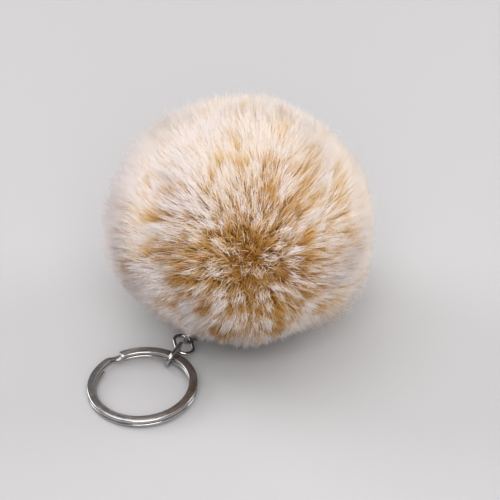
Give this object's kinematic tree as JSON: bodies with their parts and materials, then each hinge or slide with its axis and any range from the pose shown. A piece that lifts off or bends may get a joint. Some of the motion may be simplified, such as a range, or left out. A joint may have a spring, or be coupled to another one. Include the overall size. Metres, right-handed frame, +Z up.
{
  "type": "pom pom on key ring",
  "caption": "Round fluffy fur pom pom on a short chain of oval links with a flat-wire split ring for keys.",
  "frame": {"origin": "on the surface under the middle of the ball, at the fur's flat spot", "axes": "+Z up, -Y towards the front, where the fur parts in a whorl; the chain and the split ring lie towards -X and -Y"},
  "size_m": [0.0797, 0.0891, 0.0669],
  "materials": {
    "fur": "soft long pile, cream tips over ginger roots",
    "plated_wire": "polished nickel plate on steel wire",
    "plated_ring": "polished nickel plate on flat steel wire"
  },
  "bodies": {
    "root": {"pom_pom": "fur", "hanging_eye": "plated_wire", "chain_link_1": "plated_wire", "chain_link_2": "plated_wire", "chain_link_3": "plated_wire", "split_ring": "plated_ring"}
  },
  "joints": []
}
